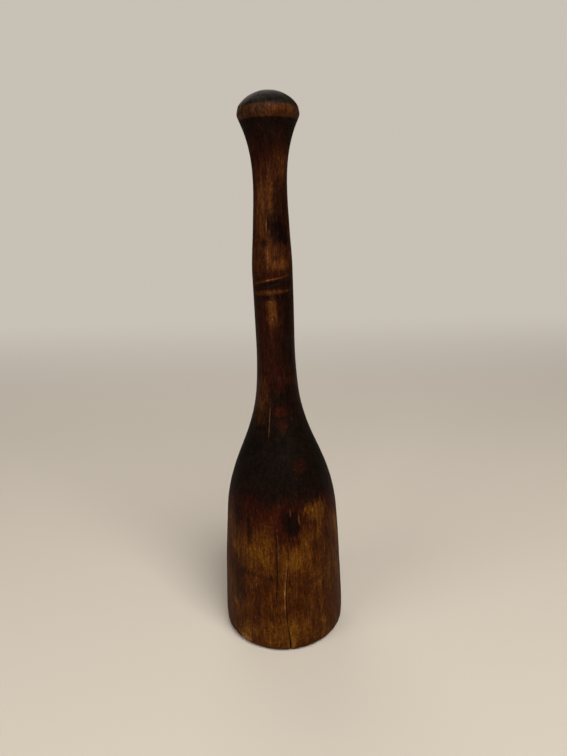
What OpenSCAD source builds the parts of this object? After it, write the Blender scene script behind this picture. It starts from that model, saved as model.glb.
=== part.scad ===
// Wooden pestle, turned from one billet: striking face, head, shoulder, handle and knob are one piece.
// Millimetres. +Z runs up the head's axis, and the origin is the middle of the flat striking face.
// The front, where the drying check shows, faces -Y.
// The outline is set out as a turner does it: a diameter and a taper at each gauge mark, and the
// length from each mark to the next. Smooth curves join the marks.

/* [Head] */
// Radius of the worn edge round the striking face
edge_round = 5; // [2:0.5:10]
// Diameter just above the worn edge
foot_d = 85.2; // [74:0.2:110]
// Length from the worn edge up to the belly
foot_len = 7; // [4:0.5:15]
// Diameter of the belly, the widest ring of the head
belly_d = 85.8; // [74:0.2:110]
// Taper of the side just above the belly, in degrees
belly_taper = 1.7; // [0:0.1:5]
// Length of the side, from the belly to the brow
side_len = 78; // [50:1:110]
// Diameter of the brow, where the head turns in to the shoulder
brow_d = 77.7; // [64:0.1:100]
// Taper at the brow, in degrees
brow_taper = 4.3; // [1:0.1:10]

/* [Shoulder] */
// Length from the brow down the slope to its steepest ring
slope_len = 47; // [34:1:70]
// Diameter at the steepest ring
slope_d = 52.3; // [40:0.1:70]
// Taper at the steepest ring, in degrees
slope_taper = 23.9; // [15:0.1:32]
// Length from the steepest ring to the root of the handle
root_len = 43; // [32:1:60]
// Diameter at the root of the handle
root_d = 28.3; // [24:0.1:36]
// Taper at the root, in degrees
root_taper = 5.4; // [2:0.1:9]

/* [Handle] */
// Length from the root to the slim lower grip
waist_len = 31; // [20:1:50]
// Diameter of the lower grip
waist_d = 25.7; // [20:0.1:32]
// Length from the lower grip to the swelling left by an old growth ring
swell_len = 44; // [30:1:70]
// Diameter of the swelling
swell_d = 26.2; // [20:0.1:34]
// Length from the swelling to the upper grip
grip_len = 27; // [18:1:40]
// Diameter of the upper grip
grip_d = 23.5; // [18:0.1:30]
// Taper of the upper grip, in degrees
grip_taper = 2.9; // [0:0.1:6]
// Length from the upper grip to the neck
neck_len = 24; // [16:1:40]
// Diameter of the neck, the thinnest place
neck_d = 21.3; // [16:0.1:28]

/* [Knob] */
// Length from the neck to the lower edge of the worn band round the knob
flare_len = 37.2; // [26:0.2:50]
// Diameter at the lower edge of the band
flare_d = 35.5; // [30:0.1:46]
// Flare just below the band, in degrees
flare_taper = 25; // [15:0.5:35]
// Height of the band
band_h = 6.8; // [4:0.2:12]
// Diameter of the knob at the middle of the band
knob_d = 37.8; // [32:0.1:50]
// Diameter at the band's upper edge, where the dome starts
rim_d = 36.6; // [30:0.1:48]
// Height of the dome above the band
dome_h = 10; // [5:0.5:18]
// Fullness of the dome: 2 is a half ellipse, and less leaves a crisper rim
dome_fullness = 1.4; // [1.1:0.1:2]

/* [Bend of the handle] */
// How far the upper handle and the knob stand off the head's axis, towards -X
crook = 2.2; // [0:0.1:8]
// How the bend gathers: 1 is an even lean, and more keeps it nearer the swelling
crook_ease = 1.4; // [1:0.1:2.5]

/* [Drying check] */
// Width of the check at the striking face
check_w = 1.3; // [0.3:0.1:3]
// Depth of the check at the striking face
check_depth = 9; // [1:0.5:16]
// Height at which the check closes
check_len = 88; // [30:1:140]
// Middle of the check's path, in degrees round from the front towards +X
check_side = 3.7; // [-40:0.1:40]
// How far its path wanders to each side, in degrees
check_sway = 1.8; // [0:0.1:4]
// Height of one full wander
check_wave = 80; // [40:1:160]

/* [Fineness] */
// Facets round the pestle
facets = 64; // [40:4:72]

/* [Hidden] */
wood = [0.36, 0.2, 0.085];
front = -90;

// Heights of the gauge marks, each from the one below.
foot_z = edge_round;
belly_z = foot_z + foot_len;
brow_z = belly_z + side_len;
slope_z = brow_z + slope_len;
root_z = slope_z + root_len;
waist_z = root_z + waist_len;
swell_z = waist_z + swell_len;
grip_z = swell_z + grip_len;
neck_z = grip_z + neck_len;
flare_z = neck_z + flare_len;
band_z = flare_z + band_h / 2;
rim_z = flare_z + band_h;
top_z = rim_z + dome_h;

// One gauge mark: height, radius, slope of the side, and the rings in the stretch above it.
marks = [
    [foot_z, foot_d / 2, tan(belly_taper), 2],
    [belly_z, belly_d / 2, -tan(belly_taper), 9],
    [brow_z, brow_d / 2, -tan(brow_taper), 9],
    [slope_z, slope_d / 2, -tan(slope_taper), 9],
    [root_z, root_d / 2, -tan(root_taper), 4],
    [waist_z, waist_d / 2, 0, 6],
    [swell_z, swell_d / 2, 0, 4],
    [grip_z, grip_d / 2, -tan(grip_taper), 4],
    [neck_z, neck_d / 2, 0, 10],
    [flare_z, flare_d / 2, tan(flare_taper), 0]
];
band = [
    [flare_z, flare_d / 2, (knob_d - flare_d) / band_h, 3],
    [band_z, knob_d / 2, 0, 3],
    [rim_z, rim_d / 2, (rim_d - knob_d) / band_h, 0]
];
edge_rings = 5;
dome_rings = 8;

// The smooth curve from mark a to mark b, at the share t of the way up.
function between(a, b, t) = let (h = b[0] - a[0])
    [a[0] + h * t,
     a[1] * (2 * pow(t, 3) - 3 * pow(t, 2) + 1) + a[2] * h * (pow(t, 3) - 2 * pow(t, 2) + t)
     + b[1] * (3 * pow(t, 2) - 2 * pow(t, 3)) + b[2] * h * (pow(t, 3) - pow(t, 2))];

function joined(list) = [
    for (i = [0 : len(list) - 2], k = [0 : list[i][3] - 1]) between(list[i], list[i + 1], k / list[i][3])
];

// The whole outline from the striking face to the last ring below the top, as [height, radius].
worn_edge = [
    for (k = [0 : edge_rings - 1]) let (a = 90 * k / edge_rings)
        [edge_round * (1 - cos(a)), foot_d / 2 - edge_round * (1 - sin(a))]
];
dome = [
    for (k = [0 : dome_rings - 1]) let (a = 90 * k / dome_rings)
        [rim_z + dome_h * pow(sin(a), 2 / dome_fullness), rim_d / 2 * cos(a)]
];
outline = concat(worn_edge, joined(marks), joined(band), dome);

// The handle leans off the axis from the brow up, and straightens at the swelling.
function lean(z) = -crook * pow(max(0, min(1, (z - brow_z) / (swell_z - brow_z))), crook_ease);

function ring(z, r) = [
    for (k = [0 : facets - 1]) let (a = front + 360 * k / facets)
        [lean(z) + r * cos(a), r * sin(a), z]
];

// The turned billet: a ring of points at each step of the outline, skinned from face to crown.
module billet() {
    rings = len(outline);
    face_mid = rings * facets;
    top_mid = face_mid + 1;
    last = face_mid - facets;
    points = [for (step = outline) each ring(step[0], step[1])];
    side = [
        for (j = [0 : rings - 2], k = [0 : facets - 1])
            let (a = j * facets + k, b = j * facets + (k + 1) % facets)
                each [[a, a + facets, b + facets], [a, b + facets, b]]
    ];
    striking_face = [for (k = [0 : facets - 1]) [face_mid, k, (k + 1) % facets]];
    crown = [for (k = [0 : facets - 1]) [top_mid, last + (k + 1) % facets, last + k]];
    polyhedron(
        points = concat(points, [[0, 0, 0], [lean(top_z), 0, top_z]]),
        faces = concat(side, striking_face, crown)
    );
}

// The drying check: a wedge that is widest and deepest at the striking face and closes with height.
// It stands past the wood at the front and under the face, so that it cuts right through both.
check_steps = 16;
past = 2;
hair = 0.02;

// A slice of the wedge at height z: its root inside the wood, then its two lips outside.
function check_slice(z) = let (
        open = max(0, 1 - z / check_len),
        r = lookup(max(z, edge_round), outline),
        lips = r + past,
        a = front + check_side + check_sway * cos(360 * z / check_wave),
        out = [cos(a), sin(a)],
        across = [-sin(a), cos(a)] * (check_w * open + hair) / 2 * lips / r)
    [for (p = [out * (r - check_depth * open - hair), out * lips + across, out * lips - across])
        [lean(z) + p[0], p[1], z]];

module drying_check() {
    slices = [for (k = [0 : check_steps]) check_slice(-past + (check_len + past) * k / check_steps)];
    corners = len(slices[0]);
    last = corners * (len(slices) - 1);
    side = [
        for (k = [0 : len(slices) - 2], i = [0 : corners - 1])
            let (a = corners * k + i, b = corners * k + (i + 1) % corners)
                each [[a, a + corners, b + corners], [a, b + corners, b]]
    ];
    polyhedron(
        points = [for (slice = slices) each slice],
        faces = concat(side, [[0, 1, 2], [last + 2, last + 1, last]])
    );
}

module pestle() {
    color(wood)
        difference() {
            billet();
            drying_check();
        }
}

pestle();
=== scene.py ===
"""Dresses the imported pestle: one turned billet of old wood, with its checks, knots, wear and finish.

Heights are measured up from the striking face. Turns are degrees round the pestle from the front, which
faces -Y, towards +X. The wood is turned and marked straight first, and then takes the bend of the handle.
"""

import math
from typing import NamedTuple

import bpy
import numpy as np
from mathutils import Matrix, Vector, noise


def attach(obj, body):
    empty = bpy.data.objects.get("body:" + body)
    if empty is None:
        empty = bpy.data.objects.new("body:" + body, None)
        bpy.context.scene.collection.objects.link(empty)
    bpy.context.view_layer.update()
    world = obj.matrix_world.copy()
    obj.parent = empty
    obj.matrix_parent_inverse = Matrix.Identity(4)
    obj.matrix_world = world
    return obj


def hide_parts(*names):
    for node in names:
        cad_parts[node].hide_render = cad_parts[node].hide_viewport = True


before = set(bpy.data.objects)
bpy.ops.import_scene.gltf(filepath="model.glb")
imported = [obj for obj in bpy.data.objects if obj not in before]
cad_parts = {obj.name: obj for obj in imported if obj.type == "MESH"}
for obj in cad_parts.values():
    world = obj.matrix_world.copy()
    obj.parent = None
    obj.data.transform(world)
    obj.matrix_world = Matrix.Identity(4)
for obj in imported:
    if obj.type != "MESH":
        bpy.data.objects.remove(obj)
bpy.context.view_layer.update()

bl_info = {
    "name": "Turned pestle",
    "version": (1, 0, 0),
    "blender": (4, 5, 0),
    "location": "View3D > Sidebar > Pestle",
    "description": "Turns, marks and finishes a one-piece wooden pestle",
    "category": "Mesh",
}

MM = 0.001
BODY = "root"
NODE = "pestle"


def length(name, millimetres, description):
    """A size that is given in millimetres and kept in metres."""
    size = millimetres * MM
    return bpy.props.FloatProperty(
        name=name, description=description, default=size, min=0.0, subtype="DISTANCE", unit="LENGTH"
    )


def angle(name, degrees, description):
    """An angle that is given in degrees."""
    return bpy.props.FloatProperty(
        name=name, description=description, default=math.radians(degrees), subtype="ANGLE", unit="ROTATION"
    )


def number(name, value, description):
    """A plain number of 1 or more."""
    return bpy.props.FloatProperty(name=name, description=description, default=value, min=1.0)


def tone(name, red, green, blue, description):
    """A colour that is given as a screen shows it, from 0 to 255, and kept as light."""
    shares = [value / 255 for value in (red, green, blue)]
    light = [s / 12.92 if s < 0.04045 else ((s + 0.055) / 1.055) ** 2.4 for s in shares]
    return bpy.props.FloatVectorProperty(
        name=name, description=description, default=(*light, 1.0), size=4, min=0.0, max=1.0, subtype="COLOR"
    )


class PestleShape(bpy.types.PropertyGroup):
    """The turner's gauge marks, from the striking face up, and the bend of the handle."""

    edge_round: length("Edge round", 5, "Radius of the worn edge round the striking face")
    foot_width: length("Foot width", 85.2, "Diameter just above the worn edge")
    foot_length: length("Foot length", 7, "From the worn edge up to the belly")
    belly_width: length("Belly width", 85.8, "Diameter of the widest ring of the head")
    belly_taper: angle("Belly taper", 1.7, "Taper of the side just above the belly")
    side_length: length("Side length", 78, "From the belly to the brow")
    brow_width: length("Brow width", 77.7, "Diameter where the head turns in to the shoulder")
    brow_taper: angle("Brow taper", 4.3, "Taper at the brow")
    slope_length: length("Slope length", 47, "From the brow to the steepest ring of the shoulder")
    slope_width: length("Slope width", 52.3, "Diameter at the steepest ring")
    slope_taper: angle("Slope taper", 23.9, "Taper at the steepest ring")
    root_length: length("Root length", 43, "From the steepest ring to the root of the handle")
    root_width: length("Root width", 28.3, "Diameter at the root of the handle")
    root_taper: angle("Root taper", 5.4, "Taper at the root of the handle")
    waist_length: length("Waist length", 31, "From the root to the lower grip")
    waist_width: length("Waist width", 25.7, "Diameter of the lower grip")
    swell_length: length("Swell length", 44, "From the lower grip to the swelling")
    swell_width: length("Swell width", 26.2, "Diameter of the swelling left by a ring of old twigs")
    grip_length: length("Grip length", 27, "From the swelling to the upper grip")
    grip_width: length("Grip width", 23.5, "Diameter of the upper grip")
    grip_taper: angle("Grip taper", 2.9, "Taper of the upper grip")
    neck_length: length("Neck length", 24, "From the upper grip to the neck")
    neck_width: length("Neck width", 21.3, "Diameter of the thinnest place")
    flare_length: length("Flare length", 37.2, "From the neck to the worn band round the knob")
    flare_width: length("Flare width", 35.5, "Diameter at the lower edge of the band")
    flare_taper: angle("Flare taper", 25, "Flare just below the band")
    band_height: length("Band height", 6.8, "Height of the worn band")
    knob_width: length("Knob width", 37.8, "Diameter at the middle of the band")
    rim_width: length("Rim width", 36.6, "Diameter at the upper edge of the band")
    dome_height: length("Dome height", 10, "Height of the dome above the band")
    dome_fullness: number("Dome fullness", 1.4, "2 is a half ellipse, and less leaves a crisper rim")
    crook: length("Crook", 2.2, "How far the upper handle stands off the axis of the head, towards -X")
    crook_ease: number("Crook ease", 1.4, "1 is an even lean, and more keeps it near the swelling")
    ring_step: length("Ring step", 1.12, "Spacing of the rings of the mesh")
    fine_step: length("Fine step", 0.6, "Spacing of the rings where the wood has small relief")
    turns: bpy.props.IntProperty(
        name="Turns", description="Faces round the pestle", default=240, min=48, max=256
    )


class PestleFinish(bpy.types.PropertyGroup):
    """The tones of the wood, as a screen shows them."""

    amber: tone("Amber", 66, 32, 4, "Worn wood of the head")
    honey: tone("Honey", 86, 50, 8, "Lightest rubbed wood of the head")
    rust: tone("Rust", 44, 12, 3, "Reddish stain near the shoulder and the knots")
    russet: tone("Russet", 54, 25, 8, "Wood of the upper handle")
    chestnut: tone("Chestnut", 38, 13, 4, "Wood of the lower handle")
    # Tawny: rubbed wood, and also painted glints of light down the handle's front and painted highlights on
    # the ring scars' lips.
    tawny: tone("Tawny", 84, 46, 16, "Rubbed streaks of the handle")
    # Umber: stain in the grain, and also painted shade under the knob and in the ring scars.
    umber: tone("Umber", 20, 7, 3, "Dark stain in the grain")
    soot: tone("Soot", 15, 7, 3, "Near-black patina of the shoulder")
    # Plum: the knots' heart, and also painted shade in the checks and in the ring scars.
    plum: tone("Plum", 16, 4, 2, "Heart of the knots")
    # The dome's tone: dark wood with a painted grey sheen of reflected light.
    smoke_and_sheen: tone("Smoke", 27, 22, 17, "Grey-brown patina of the dome")
    band: tone("Band", 58, 34, 17, "Bare wood of the band round the knob")
    ginger: tone("Ginger", 70, 35, 11, "Warmest part of the band")
    # Straw: torn and chipped wood, and also painted highlights on the lips of the checks and ring scars, on
    # the head knot's rim and down the handle's front.
    straw: tone("Straw", 118, 76, 40, "Torn edges and fresh chips")


class PestleStage(bpy.types.PropertyGroup):
    """The floor, the lamps and the camera."""

    floor: tone("Floor", 208, 200, 189, "Floor and backdrop")
    lens: number("Lens", 27.05, "Focal length in mm on a 36 mm frame")
    camera_back: length("Camera back", 366.1, "How far the camera stands in front of the pestle's axis")
    camera_height: length("Camera height", 289.4, "How high the camera stands above the floor")
    camera_side: length("Camera side", 3.36, "How far the camera stands to the right of the axis")
    camera_pitch: angle("Camera pitch", 16.0, "How far the camera looks down")
    camera_roll: angle("Camera roll", 1.346, "How far the camera is turned about its own axis")


def heights(shape):
    """Height of each gauge mark in metres, by its name."""
    places = {"foot": shape.edge_round}
    steps = (
        ("belly", shape.foot_length),
        ("brow", shape.side_length),
        ("slope", shape.slope_length),
        ("root", shape.root_length),
        ("waist", shape.waist_length),
        ("swell", shape.swell_length),
        ("grip", shape.grip_length),
        ("neck", shape.neck_length),
        ("flare", shape.flare_length),
        ("knob", shape.band_height / 2),
        ("rim", shape.band_height / 2),
        ("top", shape.dome_height),
    )
    height = shape.edge_round
    for name, step in steps:
        height += step
        places[name] = height
    return places


def between(low, high, share):
    """The smooth curve from one gauge mark to the next, as (radius, height) at a share of the way up.

    A mark is its height, its radius, and the slope of the side below and above it.
    """
    rise = high[0] - low[0]
    start, start_slope, end, end_slope = low[1], low[2], high[1], high[2]
    radius = (
        start * (2 * share**3 - 3 * share**2 + 1)
        + end * (3 * share**2 - 2 * share**3)
        + rise * start_slope * (share**3 - 2 * share**2 + share)
        + rise * end_slope * (share**3 - share**2)
    )
    return radius, low[0] + rise * share


def outline(shape):
    """The outline of the straight billet from the middle of the striking face to the middle of the dome."""
    at = heights(shape)
    marks = [
        (at["foot"], shape.foot_width / 2, math.tan(shape.belly_taper)),
        (at["belly"], shape.belly_width / 2, -math.tan(shape.belly_taper)),
        (at["brow"], shape.brow_width / 2, -math.tan(shape.brow_taper)),
        (at["slope"], shape.slope_width / 2, -math.tan(shape.slope_taper)),
        (at["root"], shape.root_width / 2, -math.tan(shape.root_taper)),
        (at["waist"], shape.waist_width / 2, 0.0),
        (at["swell"], shape.swell_width / 2, 0.0),
        (at["grip"], shape.grip_width / 2, -math.tan(shape.grip_taper)),
        (at["neck"], shape.neck_width / 2, 0.0),
        (at["flare"], shape.flare_width / 2, math.tan(shape.flare_taper)),
    ]
    band = [
        (at["flare"], shape.flare_width / 2, (shape.knob_width - shape.flare_width) / shape.band_height),
        (at["knob"], shape.knob_width / 2, 0.0),
        (at["rim"], shape.rim_width / 2, (shape.rim_width - shape.knob_width) / shape.band_height),
    ]
    fine = (at["waist"] + 0.6 * shape.swell_length, at["swell"] + 3 * MM)
    foot_radius = shape.foot_width / 2 - shape.edge_round
    points = [(foot_radius * share / 10, 0.0) for share in range(10)]
    edge_rings = 12
    for k in range(edge_rings):
        a = math.pi / 2 * k / edge_rings
        points.append((foot_radius + shape.edge_round * math.sin(a), shape.edge_round * (1 - math.cos(a))))
    for stretch in (marks, band):
        for low, high in zip(stretch, stretch[1:]):
            height = low[0]
            while height < high[0] - shape.fine_step / 2:
                points.append(between(low, high, (height - low[0]) / (high[0] - low[0])))
                small = stretch is band or fine[0] < height < fine[1]
                height += shape.fine_step if small else shape.ring_step
    dome_rings = 24
    for k in range(dome_rings + 1):
        a = math.pi / 2 * k / dome_rings
        rise = shape.dome_height * math.sin(a) ** (2 / shape.dome_fullness)
        points.append((shape.rim_width / 2 * math.cos(a) if k < dome_rings else 0.0, at["rim"] + rise))
    return points


def radius_at(points, height):
    """Radius of the outline at a height above its flat face."""
    side = [p for p in points if p[1] > 0]
    return float(np.interp(height, [p[1] for p in side], [p[0] for p in side]))


def lean(shape, height):
    """How far the bent handle stands off the axis at a height, towards -X."""
    at = heights(shape)
    share = (height - at["brow"]) / (at["swell"] - at["brow"])
    return shape.crook * np.clip(share, 0, 1) ** shape.crook_ease


def deselect():
    """Leaves object mode with nothing selected."""
    if bpy.context.object and bpy.context.object.mode != "OBJECT":
        bpy.ops.object.mode_set(mode="OBJECT")
    bpy.ops.object.select_all(action="DESELECT")


def choose(piece):
    """Selects one object and makes it active."""
    deselect()
    piece.select_set(True)
    bpy.context.view_layer.objects.active = piece


def first_point(name, place):
    """A new mesh in edit mode that is one selected point: a small plane merged at its middle."""
    deselect()
    bpy.ops.mesh.primitive_plane_add(size=MM, location=place)
    piece = bpy.context.object
    piece.name = piece.data.name = name
    bpy.ops.object.transform_apply(location=True, rotation=True, scale=True)
    bpy.ops.object.mode_set(mode="EDIT")
    bpy.ops.mesh.select_all(action="SELECT")
    bpy.ops.mesh.merge(type="CENTER")
    return piece


def draw_on(step):
    """Extrudes what is selected by a step."""
    bpy.ops.mesh.extrude_region_move(TRANSFORM_OT_translate={"value": tuple(step)})


def close_up():
    """Merges doubles, turns all faces outwards and goes back to object mode."""
    bpy.ops.mesh.select_all(action="SELECT")
    bpy.ops.mesh.remove_doubles(threshold=MM / 1000)
    bpy.ops.mesh.normals_make_consistent(inside=False)
    bpy.ops.object.mode_set(mode="OBJECT")


def apply_modifiers(piece):
    """Makes every modifier of a piece part of its mesh, in order."""
    choose(piece)
    for modifier in list(piece.modifiers):
        bpy.ops.object.modifier_apply(modifier=modifier.name)


def turn_billet(shape):
    """The billet as it leaves the lathe: its outline is drawn point by point and spun about the axis."""
    points = outline(shape)
    billet = first_point("turned_pestle", (0, 0, 0))
    for (r, z), (next_r, next_z) in zip(points, points[1:]):
        draw_on((next_r - r, 0, next_z - z))
    bpy.ops.mesh.select_all(action="SELECT")
    bpy.ops.mesh.spin(steps=shape.turns, angle=math.tau, center=(0, 0, 0), axis=(0, 0, 1))
    close_up()
    return billet


class Mark(NamedTuple):
    """A rounded mark on the wood, in millimetres and degrees."""

    height: float  # of its middle
    turn: float  # of its middle
    tall: float  # half its height
    wide: float  # half its width, round the wood
    slant: float = 0.0  # climb for each degree towards +X


HEAD_KNOT = Mark(96, 10.5, 9.5, 5.2)
GRIP_KNOT = Mark(279, 27, 6.5, 7.5, -0.09)
RING_SCAR = Mark(248.2, -8, 1.9, 16, 0.045)
RING_LIP = Mark(251.0, -8, 1.1, 17, 0.045)
LOWER_LIP = Mark(243.4, -6, 1.3, 14, 0.02)
LOWER_SCAR = Mark(240.4, -8, 1.3, 10, 0.0)
PIT = Mark(239.6, -17, 1.5, 1.6)
FOOT_CHIP = Mark(5.6, -40, 2.6, 4.4)
BAND_GLOW = Mark(346.8, 20, 4, 8)
NICKS = (
    Mark(57.3, -11.4, 1.8, 1.5),
    Mark(52.3, 33.6, 1.5, 2.0),
    Mark(114, 28, 1.5, 1.5),
    Mark(106.7, 29, 1.4, 1.6),
    Mark(272.8, -24, 1.5, 2.0),
    Mark(66, -158, 1.6, 1.8),
    Mark(31, 117, 1.5, 2.4),
    Mark(128, -131, 1.8, 1.4),
)
# How deep each mark is pressed into the wood, in millimetres. A mark with less than nothing stands proud.
RELIEF = (
    (HEAD_KNOT, 0.35),
    (Mark(101, 19, 5, 1.8), -0.2),
    (GRIP_KNOT, 0.3),
    (Mark(285, 10, 2.5, 6, -0.05), -0.15),
    (RING_SCAR, 0.55),
    (RING_LIP, -0.3),
    (LOWER_LIP, -0.2),
    (LOWER_SCAR, 0.3),
    (Mark(250.0, 171, 1.9, 14, -0.03), 0.4),
    (Mark(252.8, 171, 1.1, 15, -0.03), -0.2),
    (PIT, 0.55),
    (FOOT_CHIP, 0.9),
    (Mark(4.2, 63, 2.4, 3.2), 0.6),
    (Mark(3.8, 148, 2.6, 6.0), 0.5),
    (Mark(5.0, -112, 2.2, 3.4), 0.7),
    *((nick, 0.45) for nick in NICKS),
)


class Check(NamedTuple):
    """A drying check in millimetres and degrees: an open split that closes with height."""

    low: float
    high: float
    turn: float  # of the middle of its path
    sway: float  # how far its path wanders to each side
    wave: float  # height of one full wander
    width: float  # at its widest
    depth: float  # at its deepest
    widest: float  # height where it is widest
    ease: float  # how fast it narrows away from there


MAIN_CHECK = Check(-2, 88, 3.7, 1.8, 80, 1.3, 9, 0, 2.2)
SIDE_CHECK = Check(38, 91, -5.9, 0.7, 70, 0.42, 2.5, 66, 1.0)
SHOULDER_CHECK = Check(148, 173, -17.4, 0.8, 60, 0.5, 2.5, 160, 1.0)
CHECKS = {"main": MAIN_CHECK, "side": SIDE_CHECK, "shoulder": SHOULDER_CHECK}


def turn_of(check, height):
    """Degrees round the pestle of a check's path at a height in millimetres."""
    return check.turn + check.sway * math.cos(math.tau * height / check.wave)


def reach_of(mark, height, turn, radius):
    """How far each place is from the middle of a mark: 1 is the mark's rim."""
    away = (turn - mark.turn + 180) % 360 - 180
    along = (height - mark.height - mark.slant * away) / mark.tall
    across = np.radians(away) * radius / mark.wide
    return np.sqrt(along**2 + across**2)


def press_in(height, turn, radius, straight):
    """How deep each place of the surface is pressed in by wear, knots, scars and nicks, in millimetres."""
    deep = np.zeros_like(height)
    for mark, depth in RELIEF:
        reach = reach_of(mark, height, turn, radius)
        deep += depth * np.clip(1 - reach**2, 0, 1) ** 2
    for check in CHECKS.values():
        path = check.turn + check.sway * np.cos(math.tau * height / check.wave)
        aside = np.abs(np.radians(turn - path) * radius)
        within = np.clip((check.high - height) / 12, 0, 1) * np.clip((height - check.low) / 6, 0, 1)
        deep += 0.22 * check.width * within * np.clip(1 - aside / (1.2 + check.width), 0, 1) ** 2
    soft = np.array([noise.noise(Vector(p) / 34) for p in straight])
    flutes = np.array([noise.noise(Vector((p[0] / 5, p[1] / 5, p[2] / 70 + 9))) for p in straight])
    chatter = np.array([noise.noise(Vector((p[0] / 60, p[1] / 60, p[2] / 2.6 + 40))) for p in straight])
    foot = np.array([noise.noise(Vector(p) / 6 + Vector((5, 5, 5))) for p in straight])
    side = np.clip(height / 4, 0, 1)
    deep += side * (0.16 + 0.24 * soft)
    deep += side * (0.05 + 0.09 * flutes)
    deep += side * 0.035 * chatter
    edge = np.clip(1 - np.abs(height - 2.5) / 4.5, 0, 1) * (height > 0.05)
    deep += edge * 0.45 * np.clip(foot, 0, 1)
    return deep


def group_of(piece, name, weights):
    """A vertex group with a weight for each vertex, from 0 to 1."""
    group = piece.vertex_groups.new(name=name)
    for index in np.nonzero(weights > 0.0005)[0]:
        group.add([int(index)], float(min(1.0, weights[index])), "REPLACE")
    return group


def displace(piece, name, weights, strength, direction):
    """Moves the surface along its normal or an axis by the strength times each vertex's weight."""
    group_of(piece, name, weights)
    modifier = piece.modifiers.new(name, "DISPLACE")
    modifier.vertex_group = name
    modifier.direction = direction
    modifier.mid_level = 0.0
    modifier.strength = strength
    apply_modifiers(piece)


def places_of(piece):
    """Height, turn and radius of every vertex, and its place, in millimetres and degrees."""
    flat = np.empty(len(piece.data.vertices) * 3)
    piece.data.vertices.foreach_get("co", flat)
    straight = flat.reshape(-1, 3) / MM
    turn = np.degrees(np.arctan2(straight[:, 0], -straight[:, 1]))
    return straight[:, 2], turn, np.hypot(straight[:, 0], straight[:, 1]), straight


def wear_surface(billet):
    """Presses the marks of growth, tools and use into the billet, and raises their lips."""
    deep = press_in(*places_of(billet))
    deepest = float(deep.max())
    displace(billet, "hollows", deep / deepest, -deepest * MM, "NORMAL")
    proudest = float(-deep.min())
    displace(billet, "lips", -deep / proudest, proudest * MM, "NORMAL")


def blade_for(check, name, points):
    """The wedge that opens a check, drawn at the front slice by slice and then turned to its place."""
    past, hair, slices = 2.0, 0.02, 18
    sizes = []
    for k in range(slices + 1):
        height = check.low + (check.high - check.low) * k / slices
        end = check.high if height > check.widest else min(check.low, check.widest - 1)
        share = max(0.0, min(1.0, (height - end) / (check.widest - end))) ** check.ease
        radius = radius_at(points, max(height, 5) * MM) / MM
        aside = math.radians(turn_of(check, height) - check.turn) * radius
        width = (check.width * share + hair) * (radius + past) / radius
        root = Vector((aside, -(radius - check.depth * share - hair), height)) * MM
        sizes.append((root, width * MM, (check.depth * share + hair + past) * MM))
    root, width, reach = sizes[0]
    blade = first_point(name, root)
    draw_on((-width / 2, -reach, 0))
    draw_on((width, 0, 0))
    bpy.ops.mesh.select_all(action="SELECT")
    bpy.ops.mesh.edge_face_add()
    for (root, width, reach), (next_root, next_width, next_reach) in zip(sizes, sizes[1:]):
        draw_on(next_root - root)
        growth = (next_width / width, next_reach / reach, 1)
        bpy.ops.transform.resize(value=growth, center_override=next_root)
    bpy.ops.mesh.select_all(action="SELECT")
    spin = Matrix.Rotation(math.radians(check.turn), 4, "Z")
    close_up()
    blade.data.transform(spin)
    return blade


def open_checks(billet, points, inside):
    """Cuts the checks. Their walls take the second material."""
    for name, check in CHECKS.items():
        blade = blade_for(check, name + "_blade", points)
        blade.data.materials.append(inside)
        cut = billet.modifiers.new(name, "BOOLEAN")
        cut.operation = "DIFFERENCE"
        cut.solver = "EXACT"
        cut.material_mode = "TRANSFER"
        cut.object = blade
        apply_modifiers(billet)
        bpy.data.objects.remove(blade)


def bend_handle(billet, shape):
    """Leans the handle off the axis of the head."""
    height = places_of(billet)[0] * MM
    displace(billet, "lean", lean(shape, height) / shape.crook, -shape.crook, "X")


class Tree:
    """A node tree that is written as a sum: each call adds a node and returns what it puts out."""

    def __init__(self, tree):
        self.tree = tree

    def node(self, kind, inputs=(), **settings):
        """A node with its settings, and its inputs by name or number, as values or links."""
        new = self.tree.nodes.new("ShaderNode" + kind)
        for name, value in settings.items():
            setattr(new, name, value)
        for key, value in dict(inputs).items():
            self.feed(new.inputs[key], value)
        return new

    def feed(self, socket, value):
        if isinstance(value, bpy.types.NodeSocket):
            self.tree.links.new(value, socket)
        else:
            socket.default_value = value

    def math(self, operation, *values, clamp=False):
        return self.node("Math", enumerate(values), operation=operation, use_clamp=clamp).outputs[0]

    def vector(self, operation, *values):
        key = "Scale" if operation == "SCALE" else 1
        return self.node("VectorMath", {0: values[0], key: values[1]}, operation=operation).outputs[0]

    def point(self, x, y, z):
        return self.node("CombineXYZ", {0: x, 1: y, 2: z}).outputs[0]

    def step(self, value, low, high, start=0.0, end=1.0, smooth=True):
        """A value between two limits, turned into a share between two others."""
        inputs = {"Value": value, "From Min": low, "From Max": high, "To Min": start, "To Max": end}
        course = "SMOOTHSTEP" if smooth else "LINEAR"
        return self.node("MapRange", inputs, interpolation_type=course).outputs[0]

    def noise(self, place, scale, detail, roughness, distortion=0.0):
        inputs = {"Vector": place, "Scale": scale, "Detail": detail}
        inputs.update({"Roughness": roughness, "Distortion": distortion})
        return self.node("TexNoise", inputs).outputs[0]

    def mix(self, share, a, b):
        new = self.tree.nodes.new("ShaderNodeMix")
        new.data_type = "RGBA"
        self.feed(new.inputs[0], share)
        self.feed(new.inputs[6], a)
        self.feed(new.inputs[7], b)
        return new.outputs[2]

    def group(self, name, **inputs):
        """A node of a shared effect. A name's words are joined by low lines."""
        new = self.tree.nodes.new("ShaderNodeGroup")
        new.node_tree = bpy.data.node_groups[name]
        for key, value in inputs.items():
            self.feed(new.inputs[key.replace("_", " ").capitalize()], value)
        return new.outputs


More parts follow.
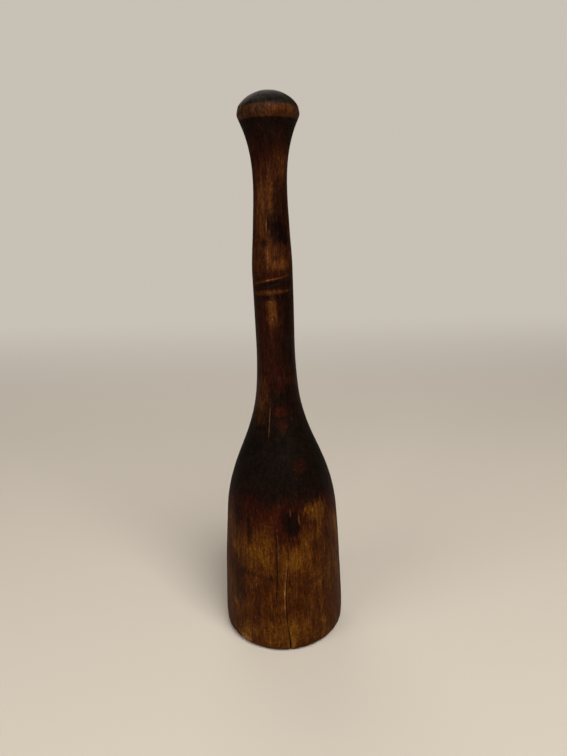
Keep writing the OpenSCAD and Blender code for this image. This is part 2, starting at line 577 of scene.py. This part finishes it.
def new_effect(name, inputs, outputs):
    """An empty shader group with named sockets, its builder, its inputs, and its output node."""
    tree = bpy.data.node_groups.new(name, "ShaderNodeTree")
    for socket, start in inputs.items():
        kind = "NodeSocketVector" if start is None else "NodeSocketFloat"
        made = tree.interface.new_socket(name=socket, in_out="INPUT", socket_type=kind)
        if start is not None:
            made.default_value = start
    for socket, kind in outputs.items():
        tree.interface.new_socket(name=socket, in_out="OUTPUT", socket_type=kind)
    build = Tree(tree)
    entry = tree.nodes.new("NodeGroupInput").outputs
    return build, entry, tree.nodes.new("NodeGroupOutput").inputs


def place_effect(shape):
    """Height, turn and radius of a place on the bent pestle, and the same place on the straight billet."""
    at = heights(shape)
    inputs = {
        "Place": None,
        "Crook": shape.crook / MM,
        "Ease": shape.crook_ease,
        "Bend low": at["brow"] / MM,
        "Bend high": at["swell"] / MM,
    }
    outputs = {
        "Height": "NodeSocketFloat",
        "Turn": "NodeSocketFloat",
        "Radius": "NodeSocketFloat",
        "Straight": "NodeSocketVector",
    }
    t, entry, out = new_effect("turned place", inputs, outputs)
    bent = t.node("SeparateXYZ", {0: t.vector("SCALE", entry["Place"], 1 / MM)}).outputs
    share = t.step(bent[2], entry["Bend low"], entry["Bend high"], smooth=False)
    x = t.math("MULTIPLY_ADD", t.math("POWER", share, entry["Ease"]), entry["Crook"], bent[0])
    turn = t.math("ARCTAN2", x, t.math("MULTIPLY", bent[1], -1.0))
    square = t.math("ADD", t.math("MULTIPLY", x, x), t.math("MULTIPLY", bent[1], bent[1]))
    t.feed(out["Height"], bent[2])
    t.feed(out["Turn"], t.math("DEGREES", turn))
    t.feed(out["Radius"], t.math("SQRT", square))
    t.feed(out["Straight"], t.point(x, bent[1], bent[2]))


def patch_effect():
    """A rounded patch with a ragged edge: 1 in its middle and 0 outside."""
    inputs = {
        "Height": 0.0,
        "Turn": 0.0,
        "Radius": 1.0,
        "Ragged": 0.0,
        "Middle height": 0.0,
        "Middle turn": 0.0,
        "Tall": 1.0,
        "Wide": 1.0,
        "Slant": 0.0,
        "Softness": 0.3,
        "Raggedness": 1.0,
    }
    t, entry, out = new_effect("patch", inputs, {"Mask": "NodeSocketFloat"})
    away = t.math("WRAP", t.math("SUBTRACT", entry["Turn"], entry["Middle turn"]), 180.0, -180.0)
    climb = t.math("MULTIPLY_ADD", entry["Slant"], away, entry["Middle height"])
    along = t.math("DIVIDE", t.math("SUBTRACT", entry["Height"], climb), entry["Tall"])
    arc = t.math("MULTIPLY", t.math("RADIANS", away), entry["Radius"])
    across = t.math("DIVIDE", arc, entry["Wide"])
    square = t.math("ADD", t.math("MULTIPLY", along, along), t.math("MULTIPLY", across, across))
    reach = t.math("MULTIPLY_ADD", entry["Ragged"], entry["Raggedness"], t.math("SQRT", square))
    inner = t.math("SUBTRACT", 1.0, entry["Softness"])
    outer = t.math("ADD", 1.0, entry["Softness"])
    t.feed(out["Mask"], t.step(reach, inner, outer, 1.0, 0.0))


def fibre_effect():
    """Streaks along the grain, from 0 to 1, with their width and length in millimetres."""
    inputs = {"Place": None, "Wide": 1.0, "Long": 20.0, "Contrast": 1.0, "Seed": 0.0}
    t, entry, out = new_effect("fibres", inputs, {"Streak": "NodeSocketFloat"})
    size = t.point(entry["Wide"], entry["Wide"], entry["Long"])
    shift = t.point(entry["Seed"], 0.0, entry["Seed"])
    place = t.vector("ADD", t.vector("DIVIDE", entry["Place"], size), shift)
    grain = t.noise(place, 1.0, 3.0, 0.62, 0.25)
    centred = t.math("MULTIPLY", t.math("SUBTRACT", grain, 0.5), entry["Contrast"])
    t.feed(out["Streak"], t.math("ADD", centred, 0.5, clamp=True))


def ring_effect():
    """Growth rings about a pith that wanders: 1 on the dark late wood."""
    inputs = {"Place": None, "Pith x": 2.5, "Pith y": 3.0, "Spacing": 2.4, "Wander": 2.0}
    t, entry, out = new_effect("growth rings", inputs, {"Late": "NodeSocketFloat"})
    place = t.vector("SUBTRACT", entry["Place"], t.point(entry["Pith x"], entry["Pith y"], 0.0))
    flat = t.node("SeparateXYZ", {0: place}).outputs
    square = t.math("ADD", t.math("MULTIPLY", flat[0], flat[0]), t.math("MULTIPLY", flat[1], flat[1]))
    drift = t.noise(t.vector("MULTIPLY", place, (0.06, 0.06, 0.008)), 1.0, 3.0, 0.55)
    away = t.math("MULTIPLY_ADD", drift, entry["Wander"], t.math("SQRT", square))
    age = t.math("FRACT", t.math("DIVIDE", away, entry["Spacing"]))
    grown = t.math("POWER", age, 3.0)
    t.feed(out["Late"], t.math("MULTIPLY", grown, t.step(age, 0.97, 1.0, 1.0, 0.0)))


def pore_effect():
    """Short open pores along the grain: 1 in a pore."""
    inputs = {"Place": None, "Wide": 0.8, "Long": 7.0, "Share": 0.3}
    t, entry, out = new_effect("pores", inputs, {"Pore": "NodeSocketFloat"})
    size = t.point(entry["Wide"], entry["Wide"], entry["Long"])
    place = t.vector("DIVIDE", entry["Place"], size)
    cells = t.node("TexVoronoi", {"Vector": place, "Scale": 1.0}, feature="F1")
    kept = t.node("SeparateColor", {0: cells.outputs["Color"]}).outputs[0]
    rim = t.math("MULTIPLY", kept, entry["Share"])
    t.feed(out["Pore"], t.step(cells.outputs["Distance"], t.math("MULTIPLY", rim, 0.5), rim, 1.0, 0.0))


def scratch_effect():
    """Thin broken lines that run across the grain: 1 on a line."""
    inputs = {"Height": 0.0, "Turn": 0.0, "Slant": 0.0, "Spacing": 3.0, "Reach": 20.0, "Share": 0.1}
    t, entry, out = new_effect("scratches", inputs, {"Line": "NodeSocketFloat"})
    level = t.math("MULTIPLY_ADD", entry["Slant"], entry["Turn"], entry["Height"])
    along = t.math("DIVIDE", entry["Turn"], entry["Reach"])
    value = t.noise(t.point(along, t.math("DIVIDE", level, entry["Spacing"]), 0.0), 1.0, 1.0, 0.4)
    limit = t.math("SUBTRACT", 0.8, entry["Share"])
    t.feed(out["Line"], t.step(value, limit, t.math("ADD", limit, 0.06)))


# What is seen on the wood over its ground tone, in order: the mark, its tone, its strength, how soft its
# edge is, and how ragged.
STAINS = (
    # Head
    (Mark(74, -26, 17, 9), "honey", 0.6, 0.6, 3.0),
    (Mark(77, 23, 13, 3.2), "honey", 0.8, 0.6, 2.4),
    (Mark(101, 37, 6, 10), "honey", 0.65, 0.4, 3.0),
    (Mark(62, 1, 17, 3.0), "honey", 0.6, 0.6, 2.6),
    (Mark(14, -12, 10, 15), "honey", 0.5, 0.6, 3.2),
    (Mark(17, 20, 14, 12), "honey", 0.35, 0.6, 3.2),
    (Mark(11, -38, 5, 6), "honey", 0.5, 0.6, 2.6),
    (Mark(98, -36, 14, 9), "rust", 0.7, 0.6, 3.4),
    (Mark(93, -3, 14, 5.0), "rust", 0.8, 0.5, 2.8),
    (Mark(93, -35, 11, 1.6), "umber", 0.75, 0.7, 2.4),
    (Mark(95, -51, 14, 4.0), "umber", 0.6, 0.7, 3.0),
    (Mark(49, -47, 17, 7), "umber", 0.65, 0.7, 3.6),
    (Mark(58, -36, 2.4, 7.0), "umber", 0.6, 0.6, 2.6),
    (Mark(53, 34, 2.0, 8.0, 0.08), "umber", 0.45, 0.7, 2.8),
    (Mark(84, 15, 3.5, 3.0), "rust", 0.6, 0.5, 2.2),
    (Mark(44, -24, 12, 9), "rust", 0.45, 0.8, 3.8),
    (Mark(31, 12, 6, 9), "rust", 0.3, 0.8, 3.8),
    (Mark(28, -30, 9, 7), "rust", 0.35, 0.8, 3.8),
    (Mark(65, 50, 24, 8), "umber", 0.3, 0.8, 3.8),
    (Mark(57.3, -11.4, 2.2, 1.6), "umber", 0.8, 0.5, 1.6),
    # Handle
    # Painted glints of light down the handle's front, partly rubbed wood:
    (Mark(232, -7, 9, 3.0), "tawny", 0.75, 0.8, 3.6),
    (Mark(236, 0, 3.4, 1.6), "tawny", 0.6, 0.7, 2.4),
    (Mark(172, -52, 13, 7), "tawny", 0.3, 0.7, 3.2),
    (Mark(222, 48, 40, 7), "umber", 0.8, 0.6, 2.6),
    (Mark(175, 14, 4.0, 7), "soot", 0.85, 0.5, 2.8),
    (Mark(178, 42, 6, 6), "soot", 0.7, 0.6, 2.8),
    (Mark(212, 33, 12, 4.5), "umber", 0.8, 0.6, 3.2),
    (Mark(166, 6, 3.0, 6), "rust", 0.7, 0.5, 2.6),
    (Mark(157, 6, 4.0, 4), "rust", 0.45, 0.6, 2.6),
    (Mark(131, 26, 4.5, 5), "rust", 0.4, 0.6, 2.8),
    (Mark(240, -52, 3.0, 5), "umber", 0.4, 0.6, 2.6),
    (Mark(260, 22, 3.2, 6.5, 0.02), "tawny", 0.65, 0.6, 2.8),
    (Mark(290, -26, 12, 5.5), "tawny", 0.6, 0.7, 3.4),
    # The next streak is a painted glint of light down the handle's front, partly rubbed wood.
    (Mark(300, 0, 14, 1.6), "tawny", 0.75, 0.8, 3.2),
    (Mark(266, -8, 8, 3.4), "tawny", 0.5, 0.7, 3.2),
    (Mark(272.8, -24, 2.2, 2.2), "plum", 0.8, 0.6, 1.8),
    (Mark(296, 42, 16, 6), "umber", 0.7, 0.7, 3.0),
    (Mark(318, 45, 8, 4.5), "tawny", 0.3, 0.7, 3.0),
    # Knots
    (Mark(96, 9, 13, 8.0), "rust", 0.85, 0.6, 2.8),
    (HEAD_KNOT, "plum", 0.95, 0.4, 1.8),
    (Mark(100, 4, 6, 2.4), "plum", 0.6, 0.6, 2.2),
    (Mark(283, 22, 9, 9, -0.08), "umber", 0.8, 0.6, 2.8),
    (GRIP_KNOT, "plum", 0.95, 0.45, 2.0),
    # Ring scars: the red-brown above them is stain; the light lines on their lips are painted highlights,
    # and the dark bands in their grooves and under the lower lip are painted shade.
    (Mark(254.0, 4, 2.6, 8, 0.045), "rust", 0.7, 0.6, 2.2),
    (Mark(247.8, -10, 2.0, 7, 0.045), "plum", 0.85, 0.6, 2.0),
    (Mark(247.4, 22, 1.8, 8, 0.03), "umber", 0.6, 0.7, 2.2),
    (Mark(250.8, -10, 0.6, 12, 0.045), "tawny", 0.6, 0.6, 1.0),
    (Mark(251.2, -4, 0.35, 4, 0.045), "straw", 0.35, 0.6, 0.8),
    (Mark(243.2, -14, 1.2, 9, 0.02), "tawny", 0.5, 0.8, 2.2),
    (Mark(243.6, 28, 0.7, 5, 0.03), "tawny", 0.35, 0.7, 1.6),
    (Mark(240.0, -4, 1.7, 8), "plum", 0.75, 0.6, 2.2),
    (Mark(238.5, 30, 2.4, 6), "umber", 0.6, 0.7, 2.4),
    (PIT, "soot", 0.9, 0.5, 1.2),
    (Mark(231.5, -22, 3.0, 1.6), "plum", 0.6, 0.6, 2.0),
    # Lighter rims, chips and torn lips. The lines on the head knot's rim, beside the shoulder check and
    # down the handle's front are painted highlights.
    (Mark(103.5, 9, 2.4, 0.5, -0.4), "straw", 0.35, 0.7, 1.0),
    (Mark(99, 17.5, 3.4, 0.45, -0.3), "straw", 0.4, 0.7, 1.0),
    (Mark(283, -15, 3.6, 0.5, 0.35), "straw", 0.4, 0.7, 1.2),
    # A painted glint of light down the handle's front:
    (Mark(265, -11, 5.0, 0.5), "straw", 0.45, 0.8, 1.8),
    (FOOT_CHIP, "straw", 0.7, 0.4, 1.6),
    (Mark(160, -18.9, 10, 0.35), "straw", 0.45, 0.6, 0.8),
)
# Thin lines that follow a check: the check, how far round they lie from it in millimetres, half their
# width, their lowest and highest place, their tone and their strength. The straw lines are painted
# highlights on the checks' lips, and the plum lines are painted shade in the checks.
EDGES = (
    (MAIN_CHECK, -0.55, 0.42, 29, 73, "straw", 0.6),
    (MAIN_CHECK, 0.25, 0.35, 22, 80, "plum", 0.85),
    (SIDE_CHECK, 0.0, 0.42, 35, 96, "plum", 0.9),
    (SIDE_CHECK, 0.9, 0.4, 58, 100, "straw", 0.22),
)


# The tone of the ground wood up the pestle, in millimetres, before streaks and stains.
GROUND = (
    (0, "amber"),
    (88, "amber"),
    (101, "rust"),
    (112, "umber"),
    (124, "soot"),
    (154, "soot"),
    (168, "umber"),
    (186, "chestnut"),
    (246, "chestnut"),
    (262, "russet"),
    (302, "russet"),
    (324, "chestnut"),
    # The darkening from 324 to 338 mm is painted shade on the flare under the knob.
    (338, "umber"),
)


def ground_wood(t, height, ragged, shape, finish):
    """The ground wood: rubbed amber on the head, near-black on the shoulder, red-brown up the handle."""
    top, wander = heights(shape)["top"] / MM, 14.0
    level = t.math("MULTIPLY_ADD", ragged, wander, height)
    ramp = t.node("ValToRGB", {0: t.math("DIVIDE", level, top)})
    stops = ramp.color_ramp.elements
    while len(stops) < len(GROUND):
        stops.new(1.0)
    for stop, (level, name) in zip(stops, GROUND):
        stop.position = level / top
        stop.color = getattr(finish, name)
    return ramp.outputs[0]


def patch(t, at, ragged, mark, softness, raggedness=1.0):
    """The mask of a mark."""
    inputs = {"middle_height": mark.height, "middle_turn": mark.turn, "tall": mark.tall, "wide": mark.wide}
    inputs.update(slant=mark.slant, softness=softness, raggedness=raggedness, ragged=ragged)
    return t.group("patch", height=at["Height"], turn=at["Turn"], radius=at["Radius"], **inputs)["Mask"]


def line_beside(t, at, ragged, check, aside, wide, low, high):
    """The mask of a broken line that follows a check."""
    height = at["Height"]
    wave = t.math("COSINE", t.math("MULTIPLY", height, math.tau / check.wave))
    path = t.math("MULTIPLY_ADD", wave, check.sway, check.turn)
    arc = t.math("MULTIPLY", t.math("RADIANS", t.math("SUBTRACT", at["Turn"], path)), at["Radius"])
    away = t.math("ABSOLUTE", t.math("SUBTRACT", arc, aside))
    away = t.math("MULTIPLY_ADD", ragged, 1.2, away)
    ends = t.math("MULTIPLY", t.step(height, low, low + 7.0), t.step(height, high - 9.0, high, 1.0, 0.0))
    return t.math("MULTIPLY", t.step(away, wide * 0.5, wide * 1.3, 1.0, 0.0), ends)


def knob_wood(t, at, shape, finish, wood, ragged):
    """The dome's dark wood with a painted grey sheen, painted shade on the flare under the band, and the
    band where it has worn through to bare wood.
    """
    marks = heights(shape)
    low, high = marks["flare"] / MM, marks["rim"] / MM
    level = t.math("MULTIPLY_ADD", ragged, 1.2, at["Height"])
    # Painted shade on the flare under the overhanging band.
    under = t.step(level, low - 6.0, low - 0.5)
    wood = t.mix(t.math("MULTIPLY", under, 0.8), wood, finish.umber)
    # The dome: dark wood with a painted grey sheen.
    wood = t.mix(t.step(level, high, high + 1.0), wood, finish.smoke_and_sheen)
    warm = patch(t, at, ragged, BAND_GLOW, 0.6)
    bare = t.mix(warm, finish.band, finish.ginger)
    below = t.step(level, low - 0.5, low + 0.7)
    band = t.math("MULTIPLY", below, t.step(level, high - 0.2, high + 0.9, 1.0, 0.0))
    return t.mix(t.math("MULTIPLY", band, 0.95), wood, bare)


def deepen(t, colour, stops):
    """A colour made lighter and yellower by a number of stops, or darker and redder where it is negative."""
    red, green, blue = 0.85, 1.1, 1.2
    parts = t.node("SeparateColor", {0: colour}).outputs
    shares = []
    for part, reach in zip(parts, (red, green, blue)):
        gain = t.math("POWER", 2.0, t.math("MULTIPLY", stops, reach))
        shares.append(t.math("MULTIPLY", part, gain))
    return t.node("CombineColor", dict(enumerate(shares))).outputs[0]


def weigh(t, *parts):
    """The sum of values that lie about a half, each times its weight."""
    total = 0.0
    for value, weight in parts:
        total = t.math("MULTIPLY_ADD", t.math("SUBTRACT", value, 0.5), weight, total)
    return total


def wood_material(shape, finish):
    """Old, hand-worn hardwood."""
    made = bpy.data.materials.new("worn_hardwood")
    made.use_nodes = True
    made.node_tree.nodes.clear()
    t = Tree(made.node_tree)
    at = t.group("turned place", place=t.node("TexCoord").outputs["Object"])
    height, straight = at["Height"], at["Straight"]
    handle = t.step(height, 140.0, 190.0)
    torn = t.noise(t.vector("MULTIPLY", straight, (0.7, 0.7, 0.16)), 1.0, 5.0, 0.72)
    ragged = t.math("SUBTRACT", torn, 0.5)
    coarse = t.group("fibres", place=straight, wide=2.6, long=42.0)["Streak"]
    middle = t.group("fibres", place=straight, wide=1.0, long=15.0, seed=3.0)["Streak"]
    fine = t.group("fibres", place=straight, wide=0.45, long=5.0, seed=7.0)["Streak"]
    cloud = t.noise(t.vector("MULTIPLY", straight, (0.09, 0.09, 0.045)), 1.0, 5.0, 0.62)
    blotch = t.noise(t.vector("MULTIPLY", straight, (0.26, 0.26, 0.17)), 1.0, 4.0, 0.6, 0.4)
    grit = t.noise(t.vector("MULTIPLY", straight, (0.8, 0.8, 0.55)), 1.0, 3.0, 0.65)
    late = t.group("growth rings", place=straight)["Late"]
    pore = t.group("pores", place=straight)["Pore"]
    line = t.group("scratches", height=height, turn=at["Turn"], slant=0.02)["Line"]

    wood = ground_wood(t, height, ragged, shape, finish)
    bare = t.math("MULTIPLY", t.step(cloud, 0.52, 0.7), t.step(height, 84.0, 104.0, 0.8, 0.0))
    wood = t.mix(bare, wood, finish.honey)
    for mark, name, strength, softness, raggedness in STAINS:
        mask = patch(t, at, ragged, mark, softness, raggedness)
        wood = t.mix(t.math("MULTIPLY", mask, strength), wood, getattr(finish, name))
    for check, aside, wide, low, high, name, strength in EDGES:
        mask = line_beside(t, at, ragged, check, aside, wide, low, high)
        wood = t.mix(t.math("MULTIPLY", mask, strength), wood, getattr(finish, name))
    wood = knob_wood(t, at, shape, finish, wood, ragged)
    depth = weigh(t, (coarse, 2.6), (middle, 3.0), (fine, 2.4), (cloud, 2.4), (blotch, 2.6), (grit, 3.6))
    depth = t.math("MULTIPLY_ADD", late, -0.3, t.math("SUBTRACT", depth, 0.1))
    depth = t.math("MULTIPLY_ADD", pore, -0.9, depth)
    depth = t.math("MULTIPLY_ADD", line, 0.5, depth)
    wood = deepen(t, wood, depth)

    relief = weigh(t, (middle, 1.4), (fine, 0.8), (grit, 0.4))
    relief = t.math("MULTIPLY_ADD", pore, -0.5, relief)
    relief = t.math("MULTIPLY_ADD", line, -0.3, relief)
    normal = t.node("Bump", {"Strength": 0.7, "Distance": 0.0003, "Height": relief}).outputs[0]
    rough = t.math("MULTIPLY_ADD", handle, -0.2, t.math("MULTIPLY_ADD", ragged, 0.3, 0.6))
    shader = t.node("BsdfPrincipled", {"Base Color": wood, "Roughness": rough, "Normal": normal})
    shader.inputs["Specular IOR Level"].default_value = 0.04
    end = t.node("OutputMaterial")
    t.feed(end.inputs["Surface"], shader.outputs[0])
    return made


def check_shade_material(finish):
    """The near-black, mottled walls inside the checks: painted shade."""
    made = bpy.data.materials.new("check_walls")
    made.use_nodes = True
    made.node_tree.nodes.clear()
    t = Tree(made.node_tree)
    place = t.vector("SCALE", t.node("TexCoord").outputs["Object"], 1 / MM)
    mottle = t.noise(t.vector("MULTIPLY", place, (0.9, 0.9, 0.3)), 1.0, 4.0, 0.6)
    colour = t.mix(t.step(mottle, 0.4, 0.7), finish.plum, finish.umber)
    normal = t.node("Bump", {"Strength": 0.5, "Distance": 0.0003, "Height": mottle}).outputs[0]
    shader = t.node("BsdfPrincipled", {"Base Color": colour, "Roughness": 0.85, "Normal": normal})
    end = t.node("OutputMaterial")
    t.feed(end.inputs["Surface"], shader.outputs[0])
    return made


class PESTLE_OT_turn(bpy.types.Operator):
    """Turn, mark, split and finish the pestle"""

    bl_idname = "pestle.turn"
    bl_label = "Turn the pestle"

    def execute(self, context):
        shape, finish = context.scene.pestle_shape, context.scene.pestle_finish
        place_effect(shape)
        patch_effect()
        fibre_effect()
        ring_effect()
        pore_effect()
        scratch_effect()
        billet = turn_billet(shape)
        wear_surface(billet)
        billet.data.materials.append(wood_material(shape, finish))
        open_checks(billet, outline(shape), check_shade_material(finish))
        bend_handle(billet, shape)
        bpy.ops.object.vertex_group_remove(all=True)
        bpy.ops.object.shade_smooth_by_angle(angle=math.radians(40))
        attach(billet, BODY)
        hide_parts(NODE)
        return {"FINISHED"}


def sweep_floor(colour):
    """A floor that curves up into a backdrop, in one sheet."""
    half, bend, rise, facets = 2.2, 0.7, 2.0, 24
    deselect()
    bpy.ops.mesh.primitive_plane_add(size=2 * half, location=(0, 0, 0))
    floor = bpy.context.object
    floor.name = floor.data.name = "studio_sweep"
    bpy.ops.object.mode_set(mode="EDIT")
    bpy.ops.mesh.select_all(action="DESELECT")
    bpy.ops.object.mode_set(mode="OBJECT")
    for edge in floor.data.edges:
        edge.select = all(floor.data.vertices[v].co.y > half - MM for v in edge.vertices)
    for vertex in floor.data.vertices:
        vertex.select = vertex.co.y > half - MM
    bpy.ops.object.mode_set(mode="EDIT")
    bpy.ops.mesh.spin(steps=facets, angle=math.pi / 2, center=(0, half, bend), axis=(-1, 0, 0))
    draw_on((0, 0, rise))
    bpy.ops.object.mode_set(mode="OBJECT")
    bpy.ops.object.shade_smooth()
    paper = bpy.data.materials.new("studio_paper")
    paper.use_nodes = True
    paper.node_tree.nodes.clear()
    t = Tree(paper.node_tree)
    place = t.node("TexCoord").outputs["Object"]
    grain = t.noise(place, 90.0, 3.0, 0.5)
    tint = t.mix(t.math("MULTIPLY", grain, 0.04), colour, (0.6, 0.56, 0.5, 1.0))
    shader = t.node("BsdfPrincipled", {"Base Color": tint, "Roughness": 0.9, "Specular IOR Level": 0.1})
    far = t.step(t.node("SeparateXYZ", {0: place}).outputs[1], 0.15, 1.3)
    seen = t.math("MULTIPLY", t.node("LightPath").outputs["Is Camera Ray"], far)
    plain = t.node("Emission", {"Color": colour, "Strength": 0.92})
    both = t.node("MixShader", {0: seen, 1: shader.outputs[0], 2: plain.outputs[0]})
    t.feed(t.node("OutputMaterial").inputs["Surface"], both.outputs[0])
    floor.data.materials.append(paper)


# Each lamp's turn and rise in degrees, its distance, width and height in metres, and its power in watts.
LAMPS = {
    "key": (26, 50, 1.5, 0.9, 0.9, 24),
    "left_fill": (-52, 32, 1.6, 1.0, 1.0, 8),
    "strip": (-12, 10, 1.6, 0.1, 0.9, 2),
    "back_fill": (195, 42, 1.8, 1.2, 1.2, 6),
}
LAMP_COLOUR = (1.0, 0.96, 0.9)
ROOM_COLOUR = (1.0, 0.95, 0.88, 1.0)
ROOM_STRENGTH = 0.08


def soft_lamp(name, turn, rise, away, wide, tall, watts):
    """A soft lamp at a turn and a rise in degrees that faces the middle of the pestle."""
    middle = Vector((0, 0, 0.16))
    a, e = math.radians(turn), math.radians(rise)
    offset = Vector((math.sin(a) * math.cos(e), -math.cos(a) * math.cos(e), math.sin(e))) * away
    deselect()
    bpy.ops.object.light_add(type="AREA", location=middle + offset)
    lamp = bpy.context.object
    lamp.name = name
    lamp.rotation_euler = offset.to_track_quat("Z", "Y").to_euler()
    lamp.data.shape = "RECTANGLE"
    lamp.data.size = wide
    lamp.data.size_y = tall
    lamp.data.energy = watts
    lamp.data.color = LAMP_COLOUR


def place_camera(stage):
    """The camera of the photograph: in front of the pestle, as high as its upper grip, looking down."""
    deselect()
    bpy.ops.object.camera_add()
    camera = bpy.context.object
    camera.name = "photo_camera"
    camera.data.sensor_width = 36.0
    camera.data.lens = stage.lens
    camera.data.clip_start = 0.01
    look = Matrix.Rotation(math.pi / 2 - stage.camera_pitch, 4, "X")
    roll = Matrix.Rotation(-stage.camera_roll, 4, "Z")
    place = Matrix.Translation((stage.camera_side, -stage.camera_back, stage.camera_height))
    camera.matrix_world = place @ look @ roll
    bpy.context.scene.camera = camera


class PESTLE_OT_stage(bpy.types.Operator):
    """Set the floor, the lamps and the camera"""

    bl_idname = "pestle.stage"
    bl_label = "Set the stage"

    def execute(self, context):
        stage = context.scene.pestle_stage
        sweep_floor(stage.floor)
        for name, lamp in LAMPS.items():
            soft_lamp(name, *lamp)
        world = bpy.data.worlds.new("dim_room")
        context.scene.world = world
        world.use_nodes = True
        room = world.node_tree.nodes["Background"].inputs
        room["Color"].default_value = ROOM_COLOUR
        room["Strength"].default_value = ROOM_STRENGTH
        place_camera(stage)
        context.scene.view_settings.view_transform = "Standard"
        return {"FINISHED"}


class PESTLE_PT_panel(bpy.types.Panel):
    """The pestle's operators and sizes"""

    bl_idname = "PESTLE_PT_panel"
    bl_label = "Turned pestle"
    bl_space_type = "VIEW_3D"
    bl_region_type = "UI"
    bl_category = "Pestle"

    def draw(self, context):
        layout = self.layout
        layout.operator(PESTLE_OT_turn.bl_idname)
        layout.operator(PESTLE_OT_stage.bl_idname)
        for settings in (context.scene.pestle_shape, context.scene.pestle_finish, context.scene.pestle_stage):
            column = layout.column(align=True)
            for name in type(settings).__annotations__:
                column.prop(settings, name)


CLASSES = (PestleShape, PestleFinish, PestleStage, PESTLE_OT_turn, PESTLE_OT_stage, PESTLE_PT_panel)
SETTINGS = {"pestle_shape": PestleShape, "pestle_finish": PestleFinish, "pestle_stage": PestleStage}


def register():
    for made in CLASSES:
        bpy.utils.register_class(made)
    for name, group in SETTINGS.items():
        setattr(bpy.types.Scene, name, bpy.props.PointerProperty(type=group))


def unregister():
    for name in SETTINGS:
        delattr(bpy.types.Scene, name)
    for made in reversed(CLASSES):
        bpy.utils.unregister_class(made)


def main():
    register()
    bpy.ops.pestle.stage()
    bpy.ops.pestle.turn()


if __name__ == "__main__":
    main()
